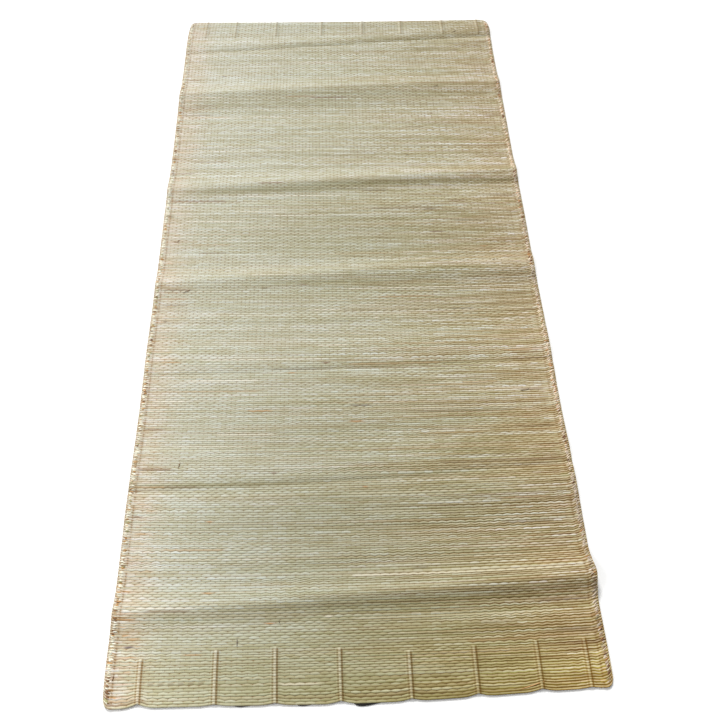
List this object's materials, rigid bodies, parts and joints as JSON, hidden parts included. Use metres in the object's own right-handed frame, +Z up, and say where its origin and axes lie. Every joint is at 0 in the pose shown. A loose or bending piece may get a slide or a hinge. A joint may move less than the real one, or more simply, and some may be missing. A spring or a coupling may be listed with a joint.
{
  "type": "woven sedge mat",
  "caption": "Rectangular sleeping mat of woven sedge, laid out flat with soft cross creases, folded selvedges and warp tails turned back at both ends.",
  "frame": {"origin": "centre of the mat's footprint on the surface it lies on", "axes": "+X across the mat from the left to the right selvedge, +Y along its length from the near to the far end, +Z up"},
  "size_m": [0.914, 1.8362, 0.0254],
  "materials": {
    "sedge": "matt, faintly waxy dry sedge stems, pale green-beige with tan, cream and brown streaks"
  },
  "bodies": {
    "root": {"mat": "sedge"}
  },
  "joints": []
}
